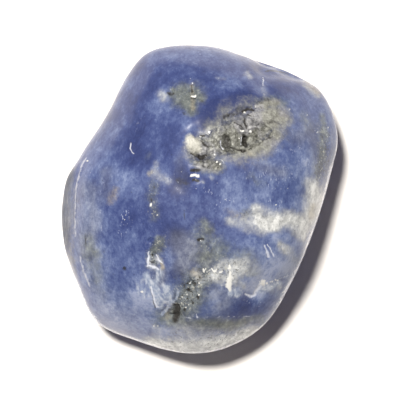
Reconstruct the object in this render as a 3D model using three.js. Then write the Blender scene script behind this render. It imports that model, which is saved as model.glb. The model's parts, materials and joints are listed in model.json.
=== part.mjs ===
// A tumbled sodalite pebble: one solid stone, a broken block whose corners were worn round, with flats left
// from its old faces, a waist in one side, a rough recess where a grey vein tore out, chips and pits.
// Millimetres, +Z up. The stone lies on its flat spot at z = 0, and the origin is under the middle of its outline.
import * as THREE from "three";
import { ImprovedNoise } from "three/addons/math/ImprovedNoise.js";
import { mergeVertices } from "three/addons/utils/BufferGeometryUtils.js";

// ---- Driving dimensions ----

const THICKNESS = 13.2; // from the flat spot to the summit
const GIRDLE_HEIGHT = 4.9; // the widest line round the stone, above the flat spot, averaged
const GIRDLE_FALL = 0.07; // how much lower that line lies for each millimetre towards +Y
const WORN_OFF = 0.22; // how much of the round underside is gone at the flat spot
const SEGMENTS = 28; // facets along each edge of the starting block
const CROWN_PULL = 1.75; // how far facets are drawn up to the wide upper face
const KEEL_PULL = 1.45; // and down to the underside

// The stone's outline from above, as points in millimetres. Corner names say where a worn corner lies.
const OUTLINE = [
  [0.6, 15.35], // far crest
  [4.4, 14.1],
  [9.0, 12.4],
  [12.65, 10.4], // right shoulder
  [13.95, 6.5],
  [12.9, 2.5],
  [11.1, -3.0],
  [8.9, -8.3],
  [6.35, -12.95], // near right corner
  [2.65, -15.0],
  [-1.6, -15.45],
  [-6.1, -14.1],
  [-10.0, -12.3], // near left corner
  [-11.8, -8.5],
  [-13.3, -4.2],
  [-13.9, 0.5], // left bulge
  [-11.7, 4.5],
  [-9.1, 8.5], // waist
  [-7.4, 12.0],
  [-5.1, 14.85], // far left shoulder
];

// Where the girdle line rises (+) or sinks (-) on its way round.
const GIRDLE_SWELLS = [
  { x: 13.0, y: 5.5, height: -1.5, spread: 4.2 }, // the right shoulder lies close to the ground
  { x: 7.0, y: -11.5, height: 0.9, spread: 4.0 }, // the near right corner overhangs
  { x: -5.0, y: -14.0, height: -1.5, spread: 4.5 },
];

// How square the cross-section of the upper half is, from 2 for an ellipse upwards, by degrees round from +X.
const SQUARENESS = [
  { toward: 0, power: 2.75 },
  { toward: 45, power: 2.5 },
  { toward: 90, power: 2.15 },
  { toward: 145, power: 2.08 }, // the waist rolls over gently
  { toward: 190, power: 2.35 },
  { toward: 235, power: 2.25 },
  { toward: 275, power: 2.45 },
  { toward: 315, power: 3.3 }, // the near right corner is steep
  { toward: 360, power: 2.75 },
];
const UNDERSIDE_SQUARENESS = 2.3;

// Broad swells (+) and hollows (-) of the upper and lower faces: where, how high and how wide.
const SWELLS = [
  { x: -2.0, y: 4.5, height: 0.5, spread: 5.0 }, // summit
  { x: 9.3, y: 7.2, height: 0.55, spread: 2.6 }, // lobe at the right shoulder
  { x: -7.5, y: -6.0, height: -0.35, spread: 4.5 },
  { x: 1.6, y: -7.4, height: -0.42, spread: 2.2 }, // dip below the middle
  { x: 5.2, y: -6.0, height: 0.3, spread: 2.0 },
  { x: 4.0, y: 0.5, height: -0.2, spread: 3.0 },
];
const KEEL_SWELLS = [
  { x: 5.5, y: 6.0, height: 0.4, spread: 4.0 },
  { x: -6.5, y: -5.0, height: -0.45, spread: 4.0 },
  { x: 6.0, y: -8.0, height: -0.5, spread: 3.2 },
  { x: -5.0, y: 7.5, height: 0.25, spread: 3.0 },
];

// Old faces of the block, worn flat: outward direction, distance from the body's middle, and how round the edge is.
const FLATS = [
  { toward: [-0.95, 0.04, 0.31], distance: 12.6, edge: 0.12 }, // steep left flank below the ridge line
  { toward: [-0.55, -0.12, 0.83], distance: 10.0, edge: 0.9 }, // gentle left slope above it
  { toward: [-0.5, 0.4, 0.77], distance: 10.15, edge: 1.1 }, // slope down to the waist
  { toward: [0.52, 0.5, 0.69], distance: 12.15, edge: 0.8 }, // over the right shoulder
  { toward: [0.45, -0.62, 0.64], distance: 11.45, edge: 0.9 }, // near right slope
  { toward: [-0.3, -0.7, 0.65], distance: 12.2, edge: 0.9 },
  { toward: [0.1, 0.72, 0.69], distance: 12.5, edge: 0.8 },
  { toward: [0.8, 0.1, -0.59], distance: 11.6, edge: 0.8 }, // under the right side
  { toward: [-0.62, 0.3, -0.72], distance: 9.9, edge: 0.9 }, // under the left side
  { toward: [0.1, -0.78, -0.62], distance: 12.4, edge: 0.9 },
  { toward: [-0.1, 0.75, -0.66], distance: 12.3, edge: 0.9 },
  { toward: [0.42, -0.5, -0.76], distance: 10.6, edge: 1.0 },
];

// Grooves: a line of points over the stone as seen from above, with depth and half width.
const GROOVES = [
  { path: [[6.0, 12.9], [7.0, 12.45], [8.7, 12.35], [10.0, 12.2]], depth: 0.42, width: 0.5 }, // behind the lobe
  { path: [[6.3, 12.9], [6.2, 11.4], [6.4, 10.2]], depth: 0.22, width: 0.45 }, // crack down from it
  { path: [[-11.3, 3.6], [-12.1, 1.2], [-12.3, -2.6], [-11.9, -5.2]], depth: 0.16, width: 0.4 }, // under the left ridge
  { path: [[-4.5, -7.3], [-3.9, -9.2], [-3.5, -11.0]], depth: 0.28, width: 0.5 }, // cleavage step
  { path: [[-2.2, -8.2], [-2.9, -9.8], [-3.6, -11.1]], depth: 0.2, width: 0.45 },
];

// Rough ground: long patches where a softer vein tore out, sunk and broken. angle is in degrees from +X.
const RECESSES = [
  { x: 3.4, y: 6.7, long: 5.5, wide: 2.3, angle: 22, depth: 0.34, rough: 0.34 }, // the grey vein
  { x: -1.0, y: 9.8, long: 2.0, wide: 1.5, angle: 15, depth: 0.16, rough: 0.14 },
  { x: -1.1, y: -9.4, long: 3.0, wide: 1.3, angle: 48, depth: 0.2, rough: 0.22 },
  { x: 6.2, y: -2.2, long: 3.0, wide: 1.0, angle: -8, depth: 0.1, rough: 0.1 },
];
const ROUGH_GRAIN = 1.15; // size of the broken lumps in rough ground

// Pits and chips, by place on the plan: radius and depth of each bowl. below puts it on the underside.
const PITS = [
  { x: 2.5, y: 5.75, radius: 0.85, depth: 0.5 },
  { x: 4.3, y: 5.7, radius: 0.8, depth: 0.55 },
  { x: 4.5, y: 8.6, radius: 0.7, depth: 0.35 },
  { x: -0.1, y: 4.3, radius: 0.9, depth: 0.4 },
  { x: -0.4, y: 2.1, radius: 0.6, depth: 0.3 },
  { x: -2.6, y: -10.9, radius: 1.1, depth: 0.34 },
  { x: -11.0, y: -3.6, radius: 0.7, depth: 0.25 },
  { x: -6.7, y: 5.0, radius: 0.6, depth: 0.15 },
  { x: 5.3, y: -8.9, radius: 1.25, depth: 0.32 }, // shell-shaped chip
  { x: 7.6, y: -7.9, radius: 0.9, depth: 0.16 },
  { x: 3.5, y: -2.0, radius: 1.0, depth: 0.35, below: true },
  { x: -4.0, y: 5.5, radius: 1.6, depth: 0.4, below: true },
  { x: 5.0, y: 7.5, radius: 1.2, depth: 0.3, below: true },
  { x: -6.0, y: -6.5, radius: 1.3, depth: 0.35, below: true },
];
// The pale knob at the left end of the grey vein, which stood up to the wear.
const KNOB = { x: -1.05, y: 5.2, radius: 0.95, height: 0.38 };

// ---- Working values ----

const noise = new ImprovedNoise();
const outlineCurve = new THREE.CatmullRomCurve3(
  OUTLINE.map(([x, y]) => new THREE.Vector3(x, y, 0)),
  true,
  "centripetal",
);
const OUTLINE_STEPS = 720;
const outlineSamples = outlineCurve
  .getPoints(OUTLINE_STEPS)
  .slice(1)
  .map((point) => ({ angle: Math.atan2(point.y, point.x), reach: Math.hypot(point.x, point.y) }))
  .sort((a, b) => a.angle - b.angle);

// How far the outline reaches from the middle at an angle, between the two nearest samples.
function outlineReach(angle) {
  const after = outlineSamples.findIndex((sample) => sample.angle > angle);
  const next = outlineSamples[Math.max(after, 0)];
  const last = outlineSamples.at(after > 0 ? after - 1 : -1);
  const turn = (next.angle - last.angle + 2 * Math.PI) % (2 * Math.PI);
  const share = ((angle - last.angle + 2 * Math.PI) % (2 * Math.PI)) / turn;
  return THREE.MathUtils.lerp(last.reach, next.reach, share);
}

// Squareness of the upper half towards an angle, blended between the directions listed.
function squarenessAt(angle) {
  const degrees = (THREE.MathUtils.radToDeg(angle) + 360) % 360;
  const after = SQUARENESS.findIndex((entry) => entry.toward > degrees);
  const next = SQUARENESS[after];
  const last = SQUARENESS[after - 1];
  const share = THREE.MathUtils.smoothstep(degrees, last.toward, next.toward);
  return THREE.MathUtils.lerp(last.power, next.power, share);
}

const bell = (distance, spread) => Math.exp(-0.5 * (distance / spread) ** 2);
const swellAt = (swells, x, y) =>
  swells.reduce((sum, s) => sum + s.height * bell(Math.hypot(x - s.x, y - s.y), s.spread), 0);
const girdleAt = (x, y) => GIRDLE_HEIGHT - GIRDLE_FALL * y + swellAt(GIRDLE_SWELLS, x, y);
const bowl = (share) => (share < 1 ? (1 - share * share) ** 2 : 0);

// The round body before wear: a direction from its middle to a point on its skin.
function bodyPoint(direction) {
  const angle = Math.atan2(direction.y, direction.x);
  const level = Math.hypot(direction.x, direction.y);
  const steep = Math.abs(direction.z);
  const above = direction.z > 0;
  const power = above ? squarenessAt(angle) : UNDERSIDE_SQUARENESS;
  const scale = (level ** power + steep ** power) ** (-1 / power);
  const reach = outlineReach(angle) * level * scale;
  const x = reach * Math.cos(angle);
  const y = reach * Math.sin(angle);
  const girdle = girdleAt(x, y);
  const rise = above ? THICKNESS - girdle : -(girdle + WORN_OFF);
  const swell = swellAt(above ? SWELLS : KEEL_SWELLS, x, y);
  const lift = steep * scale;
  return new THREE.Vector3(x, y, girdle + (rise + swell) * lift);
}

// Pushes a point back to each worn flat that it stands proud of, rounding the edge.
function wearFlats(point) {
  const middle = new THREE.Vector3(0, 0, GIRDLE_HEIGHT);
  for (const flat of FLATS) {
    const toward = new THREE.Vector3(...flat.toward).normalize();
    const proud = point.clone().sub(middle).dot(toward) - flat.distance;
    const taken = flat.edge * Math.log1p(Math.exp(Math.min(proud / flat.edge, 40)));
    point.addScaledVector(toward, -taken);
  }
}

// Outward direction of the skin near a point, taken from the round body.
function outwardAt(point) {
  const reach = outlineReach(Math.atan2(point.y, point.x));
  const girdle = girdleAt(point.x, point.y);
  const height = point.z - girdle;
  const half = height > 0 ? THICKNESS - girdle : girdle + WORN_OFF;
  return new THREE.Vector3(point.x / reach ** 2, point.y / reach ** 2, height / half ** 2).normalize();
}

// Distance on the plan from a point to a line of points.
function distanceToPath(point, path) {
  const flatPoint = new THREE.Vector3(point.x, point.y, 0);
  const nearest = new THREE.Vector3();
  let least = Infinity;
  for (let i = 1; i < path.length; i += 1) {
    const span = new THREE.Line3(new THREE.Vector3(...path[i - 1], 0), new THREE.Vector3(...path[i], 0));
    span.closestPointToPoint(flatPoint, true, nearest);
    least = Math.min(least, nearest.distanceTo(flatPoint));
  }
  return least;
}

// How far inside a long patch a point lies: 1 in its middle, 0 at its border.
function insideRecess(point, recess) {
  const turn = THREE.MathUtils.degToRad(recess.angle);
  const dx = point.x - recess.x;
  const dy = point.y - recess.y;
  const along = (dx * Math.cos(turn) + dy * Math.sin(turn)) / recess.long;
  const across = (dy * Math.cos(turn) - dx * Math.sin(turn)) / recess.wide;
  return THREE.MathUtils.smoothstep(1.15 - Math.hypot(along, across), 0, 0.45);
}

// Depth of all the carving at a point, in millimetres. Negative where the stone stands up.
function carvingAt(point) {
  const above = point.z > girdleAt(point.x, point.y);
  const { x, y } = point;
  let depth = 0;
  for (const pit of PITS) {
    if (Boolean(pit.below) !== above) depth += pit.depth * bowl(Math.hypot(x - pit.x, y - pit.y) / pit.radius);
  }
  if (!above) return depth;
  for (const groove of GROOVES) {
    depth += groove.depth * bell(distanceToPath(point, groove.path), groove.width);
  }
  for (const recess of RECESSES) {
    const inside = insideRecess(point, recess);
    const broken = noise.noise(x / ROUGH_GRAIN, y / ROUGH_GRAIN, recess.angle);
    depth += inside * (recess.depth + recess.rough * broken);
  }
  depth -= KNOB.height * bowl(Math.hypot(x - KNOB.x, y - KNOB.y) / KNOB.radius);
  return depth;
}

// A block of even facets, blown up to a ball: its vertices are directions from the middle.
function startingBall() {
  const block = new THREE.BoxGeometry(2, 2, 2, SEGMENTS, SEGMENTS, SEGMENTS);
  block.deleteAttribute("normal");
  block.deleteAttribute("uv");
  const ball = mergeVertices(block);
  const place = ball.getAttribute("position");
  const direction = new THREE.Vector3();
  for (let i = 0; i < place.count; i += 1) {
    direction.fromBufferAttribute(place, i);
    const spread = (value) => Math.tan((value * Math.PI) / 4);
    direction.set(spread(direction.x), spread(direction.y), spread(direction.z)).normalize();
    direction.z *= direction.z > 0 ? CROWN_PULL : KEEL_PULL;
    direction.normalize();
    place.setXYZ(i, ...direction);
  }
  return ball;
}

function stoneGeometry() {
  const stone = startingBall();
  const place = stone.getAttribute("position");
  const direction = new THREE.Vector3();
  for (let i = 0; i < place.count; i += 1) {
    direction.fromBufferAttribute(place, i);
    const point = bodyPoint(direction);
    wearFlats(point);
    point.addScaledVector(outwardAt(point), -carvingAt(point));
    point.z = Math.max(point.z, 0); // the flat spot that the stone rests on
    place.setXYZ(i, ...point);
  }
  stone.computeVertexNormals();
  return stone;
}

const sodalite = new THREE.MeshStandardMaterial({ color: 0x5f69a3, roughness: 0.4, metalness: 0 });
const stone = new THREE.Mesh(stoneGeometry(), sodalite);
stone.name = "sodalite_stone";

const part = new THREE.Group();
part.add(stone);
export default part;
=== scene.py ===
import json
import math

import bpy
import numpy as np
from bpy.props import FloatProperty, FloatVectorProperty, PointerProperty
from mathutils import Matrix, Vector, noise

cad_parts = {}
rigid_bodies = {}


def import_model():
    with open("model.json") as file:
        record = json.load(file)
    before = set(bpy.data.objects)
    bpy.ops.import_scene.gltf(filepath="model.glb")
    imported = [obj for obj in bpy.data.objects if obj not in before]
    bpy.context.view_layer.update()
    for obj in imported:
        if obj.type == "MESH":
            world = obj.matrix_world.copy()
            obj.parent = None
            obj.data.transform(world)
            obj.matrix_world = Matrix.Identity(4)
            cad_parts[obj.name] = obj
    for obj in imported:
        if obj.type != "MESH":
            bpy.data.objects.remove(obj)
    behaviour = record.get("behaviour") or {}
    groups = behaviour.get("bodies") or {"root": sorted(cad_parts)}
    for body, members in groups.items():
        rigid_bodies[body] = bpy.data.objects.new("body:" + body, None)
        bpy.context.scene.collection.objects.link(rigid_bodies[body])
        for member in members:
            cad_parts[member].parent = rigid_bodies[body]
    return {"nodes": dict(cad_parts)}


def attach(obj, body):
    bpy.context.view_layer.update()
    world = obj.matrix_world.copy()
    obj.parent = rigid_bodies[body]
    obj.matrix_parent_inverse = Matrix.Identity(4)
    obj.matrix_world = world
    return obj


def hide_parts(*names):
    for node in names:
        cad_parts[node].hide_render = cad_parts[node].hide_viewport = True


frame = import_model()

bl_info = {
    "name": "Tumbled sodalite stone",
    "version": (1, 0, 0),
    "blender": (4, 5, 0),
    "location": "3D View > Sidebar > Sodalite",
    "description": "Dresses the measured solid of a tumbled sodalite stone and stands it in a plain studio",
    "category": "Object",
}

MM = 0.001
SOLID = "sodalite_stone"
BODY = "root"
STONE = "tumbled_sodalite"

# ---- What lies where on the stone's upper side ----
# Places and sizes are in tenths of a millimetre: x to the right, y away from the near corner. An inclusion is
# a chain of round spots, each (x, y, half width), that run into one another; a soft cloud has its strength, a
# share, in front.
TENTHS = 10

# Grey rock: the wide broken vein right of the knob, with its tail.
VEIN = (
    ((-3, 49, 9), (9, 49, 14), (22, 55, 18), (38, 62, 21.5), (52, 68, 21), (68, 76, 15), (77, 79, 10)),
    ((56, 88, 3.5), (65, 92, 4.5), (74, 93, 3.5)), ((34, 47, 7), (50, 48, 8.5), (64, 53, 9), (72, 62, 7)),
    ((2, 35, 6), (17, 31, 6)),
)
# The part of the grey rock that is crumbled; the rest of it is worn smooth.
CRUMBLED = (
    ((-4, 50, 9), (12, 51, 13), (26, 56, 14), (42, 63, 15), (52, 64, 12), (64, 62, 6)),
    ((26, 76, 5), (44, 83, 5), (51, 86, 3.5)), ((-2, 42, 6), (17, 32, 6)), ((-29, 102, 2.5), (-24, 102, 2.5)),
    ((-7, 109, 3), (-6, 86, 3.5)), ((3, -76, 5), (-9, -85, 9), (-14, -96, 8), (-24, -109, 6)),
    ((-45, -40, 4), (-45, -53, 5), (-43, -63, 4.5)),
)
# Paler, smoother parts of the grey rock.
PALE_ROCK = (
    (0.4, (51, 78, 4), (62, 80, 5)), (0.3, (10, 52, 5), (18, 49, 5)), (0.3, (2, -76, 5), (-12, -88, 7)),
    (0.35, (31, 67, 4), (39, 71, 4)), (0.9, (45.5, 75, 1), (49.5, 68.5, 1.4)),
    (0.8, (57, 69.5, 0.8), (60, 65, 1), (64, 63, 1.2)), (0.5, (54, 90, 2.5), (57, 89, 2)),
    (0.35, (9, 59, 4), (16, 61, 4)), (0.5, (32, 52, 3), (39, 51, 2)),
)
# The pale knob at the vein's left end.
KNOB = (((-8.5, 56.5, 4.2), (-5.5, 52, 6), (-2.5, 48, 4.2)),)
# Small pieces of white rock, and painted highlights: the chains near (-4, 23) and (-5.5, 98.5) are painted
# glints, and the two near (28, -62) to (28, -86) are the painted bright drop of the key light.
WHITE_ROCK_AND_GLINTS = (
    ((-7.8, 22.4, 1.4), (-4, 23, 1.2), (-1, 22, 1.5)), ((28.6, -62.5, 1.2), (28.4, -65, 2)),
    ((29, -69, 1), (28.4, -76, 2.4), (28, -81, 3), (28.5, -86, 1.4)), ((-7.5, 98.5, 1), (-4, 98.5, 1.1)),
    ((60.2, -79.5, 3), (60.5, -79.5, 3)), ((39.5, 65, 0.9), (42, 65, 0.9)),
    ((-54.6, -87.8, 1.3), (-54.2, -87.8, 1.3)), ((3.3, -65.5, 0.5), (4.5, -69, 0.5), (6, -64.5, 0.5)),
    ((7.2, -68.5, 0.6), (9.5, -67, 0.6)), ((11.5, -65.5, 0.8), (14, -68.5, 0.8), (16, -66, 0.8)),
    ((19, -69, 0.8), (22, -67.5, 0.9)), ((-46, -4.2, 1.2), (-46, -5.8, 1.2)),
)
# Soft cream clouds.
CREAM = (
    (1, (55, -20, 4), (63, -24, 5.5), (72, -25, 4.5)), (0.7, (52, -9, 4.5), (57, -19, 5), (63, -20, 5)),
    (1, (71, -21, 5), (82, -20, 5.5), (96, -22, 5.5)), (0.35, (60, -9, 4.5), (74, -12, 4), (88, -14, 4)),
    (0.5, (92, -31, 4), (98, -36, 4)), (0.35, (88, -56, 5), (94, -60, 4.5)),
    (0.4, (52, -90, 2), (58, -84, 2.5)), (0.55, (30, -19, 4.5), (44, -19, 5)),
    (0.3, (44, -28, 4), (56, -29, 4)), (1, (108, 14, 6), (111, 3, 8), (109, -8, 7)),
    (0.9, (108, -12, 4.5), (102, -24, 5), (100, -34, 2.5)),
    (0.5, (101, 111, 3), (108, 106, 4), (115, 99, 2.5)), (0.2, (128, 64, 3), (128, 45, 3.5), (123, 22, 3.5)),
    (0.6, (16, -65, 4), (28, -62, 5), (38, -62, 4)), (0.7, (14, -73, 5), (22, -76, 5), (30, -74, 4)),
    (0.45, (34, -80, 5), (39, -83, 4)), (0.5, (36, -69, 5), (45, -67, 4.5)),
    (0.4, (43, -60, 5), (54, -64, 4)), (0.6, (-4, -71, 3), (1, -74, 3.5)),
    (0.6, (-47, -56, 2.5), (-46, -63, 3), (-42, -65, 2.5)), (0.5, (-38, -56, 2.5), (-36, -59, 2.5)),
    (0.4, (-45, 26, 3), (-42, 26, 4)), (0.3, (-41, 34, 3), (-40, 32, 3)),
    (0.38, (-35, 21, 4), (-31, 18, 4.5)), (0.5, (-39, 101, 3), (-35, 98, 4.5)),
    (0.7, (76, -44, 3.5), (83, -48, 4)), (0.4, (45, 121, 2.2), (48, 118, 2.2)),
    (0.3, (17, 116.5, 1.5), (26, 116.5, 1.5)), (0.25, (2, -78, 4), (-10, -89, 6), (-15, -99, 6)),
    (0.4, (1, 16, 1.2), (2.5, 15, 1.2)), (0.35, (9, 21, 2), (11, 19, 2)),
    (0.2, (-12, 58, 2.5), (-11, 50, 2.5), (-8, 44, 2)), (0.25, (60.5, 108, 2.5), (63, 102, 3.5)),
    (0.5, (85, 87, 1.2), (86, 85, 1.2)), (0.3, (-76, -136, 2), (-54, -140, 3), (-36, -141, 4)),
    (0.9, (-50, -137, 4), (-30, -141, 6.5), (-9, -142, 7.5), (15, -141, 6.5), (38, -133, 6), (54, -125, 4)),
    (0.3, (-44, -121, 4), (-40, -126, 5)), (0.35, (-20, -124, 6), (10, -129, 6)),
    (0.5, (64, -86, 3), (76, -82, 2.5)),
)
# Soft grey-green clouds.
OLIVE = (
    (0.85, (-26, 102, 4), (-14, 99, 9.5), (-5, 102, 7), (1, 95, 4)), (0.85, (-12, 93, 8), (-8, 84, 4.5)),
    (0.7, (59, 92, 4), (70, 95, 6), (80, 92, 5)), (0.7, (-3, 36, 4), (5, 32, 6), (19, 29, 5)),
    (0.3, (8, 66, 3.5), (24, 77, 4), (40, 85, 4), (52, 92, 4)), (0.5, (20, -56, 8), (44, -55, 7)),
    (0.6, (2, -32, 8), (8, -42, 10), (19, -44, 8), (5, -54, 9)), (0.6, (6, -20, 3.5), (10, -28, 4)),
    (0.8, (-37, -36, 3), (-37, -43, 4.2), (-43, -52, 4.5), (-42, -60, 3.5)),
    (0.95, (6, -74, 7), (-6, -83, 11), (-12, -96, 12), (-22, -110, 9)),
    (0.55, (8, -73, 7), (24, -72, 8), (42, -65, 6), (52, -70, 4)),
    (0.6, (2, -117, 4.5), (20, -120, 5), (42, -117, 4.5)),
    (0.5, (-43, 15, 3.5), (-46, 1, 4), (-42, -12, 4), (-44, -19, 3)), (0.5, (-105, -37, 4), (-103, -48, 5)),
    (0.45, (99, 80, 5), (106, 70, 5.5)),
    (0.6, (60, -115, 3.5), (35, -120, 4.5), (0, -120, 5), (-26, -120, 4)),
    (0.5, (-32, -110, 5), (-42, -120, 5)), (0.4, (-49.5, 41, 2.5), (-48, 43, 2)),
    (0.4, (-102, -56, 9), (-98, -78, 8)), (0.65, (118, 80, 3), (119, 60, 4), (118, 40, 4.5), (114, 22, 3.5)),
    (0.3, (50, 22, 5), (58, 14, 5)), (0.6, (43, -14, 4), (52, -13, 4)), (0.35, (95, -27, 4), (100, -38, 4)),
)
# Thin veils of grey and mauve over the blue.
VEILS = (
    (0.2, (-96, 64, 8), (-85, 84, 7), (-80, 52, 8)), (0.45, (-112, -40, 7), (-104, -70, 9), (-94, -94, 8)),
    (0.6, (10, -89, 6), (26, -91, 6), (20, -102, 7)), (1, (-20, -39, 9), (-10, -52, 11), (-16, -64, 8)),
    (0.9, (-7, -46, 8), (6, -56, 7), (10, -62, 6)), (0.8, (-36, -70, 6), (-40, -78, 6)),
    (0.6, (-106, 10, 8), (-104, -20, 9), (-106, -50, 9)), (0.8, (-24, -119, 7), (6, -122, 7), (36, -120, 6)),
    (0.2, (-90, -112, 8), (-64, -124, 8)), (0.6, (92, 58, 8), (106, 64, 8), (114, 34, 8)),
    (0.5, (89, -65, 8), (74, -86, 6)), (0.5, (48, -56, 7), (56, -74, 6)), (0.5, (-88, 26, 6), (-90, 6, 6)),
    (0.6, (56, 32, 6), (76, 26, 6)), (0.6, (8, 69, 5), (30, 86, 5)), (0.5, (-18, 38, 5), (-16, 16, 6)),
)
# Beige and rust stains.
RUST = (
    (0.5, (-79, 10, 3), (-82, 3, 4.2), (-85, -2, 3)), (0.8, (-36, -60, 1.2), (-35, -65, 2)),
    (0.7, (109, -7, 3.5), (107, -17, 3.5)), (0.6, (103, 114, 3), (115, 104, 3)),
    (0.5, (-5, -69, 3.5), (0, -73, 3.5)), (0.4, (-48, 24, 2), (-45, 27, 2)),
    (0.35, (27, -12, 4), (39, -16, 4)), (0.4, (-129, -26, 3.5), (-128, -39, 4), (-123, -64, 3.5)),
    (0.45, (-7.5, 109, 2), (-6, 86, 2)), (0.35, (-29, -106, 4), (-30, -112, 3.5)),
    (0.4, (44, 45, 2), (48, 43, 2)),
)
# Dark spots: specks of dark mineral and dirt, and painted shade in the pits and crevices, round the glint
# near (-4, 23) and below the knob.
DARK_SPOTS_AND_PIT_SHADE = (
    (0.75, (25, 59, 2.8), (26, 52, 3.6)), (1, (41.5, 61, 1.2), (42, 55, 1.6), (43.5, 51, 1.5)),
    (0.5, (44, 59, 1.5), (44.5, 52, 1.5)), (1, (40, 47, 1.4), (42, 46, 1.8)),
    (0.85, (29, 49.5, 0.7), (36, 47, 0.7), (41, 45.5, 1)),
    (0.75, (43, 76, 1.2), (43.5, 71, 1.6), (45, 68, 1)), (0.7, (33, 73, 0.6), (39, 70, 0.8), (41, 68, 0.6)),
    (0.85, (42, 84, 1.2), (46, 86, 1.2), (51, 85, 1)), (0.7, (45, 81, 1), (49, 79, 1)),
    (0.4, (23, 79, 2.5), (36, 81, 2.5)), (0.3, (56, 91, 3), (65, 94, 3.5)), (0.9, (1, 60, 0.7), (5, 60, 0.8)),
    (0.85, (2, 55, 1), (5.5, 51, 1.6), (7.5, 49.5, 1)),
    (1, (-8, 44, 0.8), (-3, 42.5, 1), (1, 40.5, 1.6), (6, 42, 1.2)), (0.6, (1, 38.5, 2), (6, 38, 2)),
    (0.6, (-5, 32.5, 1), (-3.5, 32.5, 1)), (0.8, (17.2, 30, 1), (17.8, 30, 1)),
    (0.85, (-7, 27.5, 2), (-1, 27.2, 2)), (0.85, (-6, 18.5, 1.3), (-1, 18, 1.4)),
    (0.55, (-20, 18, 4), (-11, 15, 3.5)), (0.5, (59, 72, 2.5), (66, 73, 2)), (0.55, (68, 75, 2), (75, 72, 2)),
    (0.35, (54, 64, 1.5), (59, 58, 2)), (0.45, (21, 44, 1.5), (25, 43, 1.5)),
    (0.5, (59.2, 87, 1), (59.6, 87, 1)), (0.5, (75, 93, 1.2), (74.5, 92, 1.2)),
    (0.7, (-30, 102, 1.2), (-25, 101, 1.7)), (0.6, (-15, 82.5, 1.5), (-14.5, 81, 1.4)),
    (0.5, (2, 94, 2), (4, 92, 2)), (0.7, (-7.5, 109, 1.2), (-7, 102, 1.2)), (0.45, (-7, 94, 1), (-6, 86, 1)),
    (0.8, (-7.5, 96.5, 0.6), (-4, 96.2, 0.7)),
    (0.7, (63, 123.5, 1), (69, 125, 1), (80, 124, 0.8), (87, 122, 0.6)),
    (0.5, (41, -19.5, 1.2), (41.5, -19.5, 1.2)), (0.9, (-45, -52.8, 1.2), (-45, -53, 1.2)),
    (0.7, (-46, -59.5, 1.2), (-43, -60, 1)), (0.6, (-51, -49, 0.6), (-51, -59, 0.6)),
    (0.75, (-47.2, -83, 0.5), (-45, -91, 0.6), (-42.5, -103, 0.7)), (0.9, (-10, -86, 1.4), (-9.5, -86, 1.4)),
    (0.9, (-4, -80.5, 1.2), (-4, -81, 1.2)), (0.8, (-6.5, -79, 0.8), (-6, -77.5, 0.8)),
    (0.8, (-12, -79.5, 0.8), (-11.5, -79.5, 0.8)), (0.9, (-14.2, -105, 1.1), (-14.2, -105.5, 1.1)),
    (0.8, (-2, -93, 1.2), (-1.5, -93.5, 1.2)), (0.8, (-6, -98, 1), (-6, -98.5, 1)),
    (0.8, (-22, -101, 2.2), (-22, -107, 3.3), (-23, -115, 2.6)), (0.3, (-25, -98, 4), (-23, -118, 3)),
    (0.2, (-12, -86, 6), (-15, -96, 6)), (0.4, (2, -92, 5), (9, -102, 6)),
    (0.6, (-109.5, -32, 0.8), (-109, -43, 1.2)), (0.6, (-92, -50, 1.4), (-91.5, -50, 1.3)),
    (1, (-72, -65.5, 1.5), (-70.5, -66, 1.3)), (0.7, (-91, -65, 0.9), (-91, -65.5, 0.9)),
    (0.6, (-76, 10.5, 1), (-76, 10, 1)), (0.8, (-45.5, 1, 0.9), (-45.5, -1.5, 1.2)),
    (0.6, (-43, 12, 1.2), (-42.5, 11.5, 1.2)), (0.9, (-1, -38, 1.6), (3, -37.5, 1.4)),
    (0.5, (63.5, -45, 0.6), (68, -53, 0.7)), (0.6, (-14.5, -10, 0.9), (-13.5, -19, 0.9)),
    (0.45, (48, 26, 3), (54, 16, 3)), (0.35, (50, 91, 3.5), (64, 96, 4)),
    (0.35, (10, 70, 3), (26, 79, 3.5), (40, 86, 3)),
)
# Bruises, scratches and chip edges: thin white lines of crushed stone.
SCRATCHES = (
    ((44, -90, 1), (48.5, -92.5, 1.5), (53, -91.5, 1.5)), ((53, -91, 1.6), (54.5, -87, 1.7), (58, -82, 1.7)),
    ((61.4, -43, 0.6), (63.6, -49, 1), (65.5, -54, 1.8)),
    ((64, -42.5, 0.5), (67.5, -48, 0.7), (70.8, -54, 0.6)),
    ((-65.5, 54, 0.6), (-66, 48, 0.5), (-63, 44, 0.7)), ((61, 117, 0.5), (61, 110, 0.7)),
    ((-3, -109, 0.5), (-2, -113, 0.7)), ((-48.5, -49.5, 0.5), (-48.8, -57, 0.9), (-49.5, -63, 0.9)),
    ((-49.5, -62, 0.9), (-44, -64, 1.3), (-39, -66, 1)),
    ((-41, -52, 0.5), (-38, -57.5, 0.9), (-35, -60, 0.7)),
    ((20.5, 56, 0.4), (20.5, 50, 0.6), (22, 47.5, 0.6)), ((39.5, 59, 0.4), (39.5, 53, 0.5)),
    ((-46.2, -83, 1), (-43.8, -92, 1), (-41, -102, 1.1), (-38.5, -103, 0.8)),
)
# Fine scratches, barely there.
FAINT_SCRATCHES = (
    ((-14, -112.5, 0.6), (25, -112, 0.5), (49, -112, 0.5)), ((-94, -10, 0.5), (-93, -30, 0.5)),
    ((61, -79, 0.8), (72, -77.5, 0.9), (90, -71.5, 0.8)), ((-25, -85, 0.4), (-23, -83, 0.5), (-20, -85, 0.4)),
    ((66, 54, 0.4), (71, 49, 0.5), (75, 52, 0.4)), ((68, 49, 0.4), (72, 45, 0.5), (77, 49, 0.4)),
    ((88, 59, 0.5), (94, 57, 0.5)), ((93, 51, 0.5), (98, 47, 0.5)),
)
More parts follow.
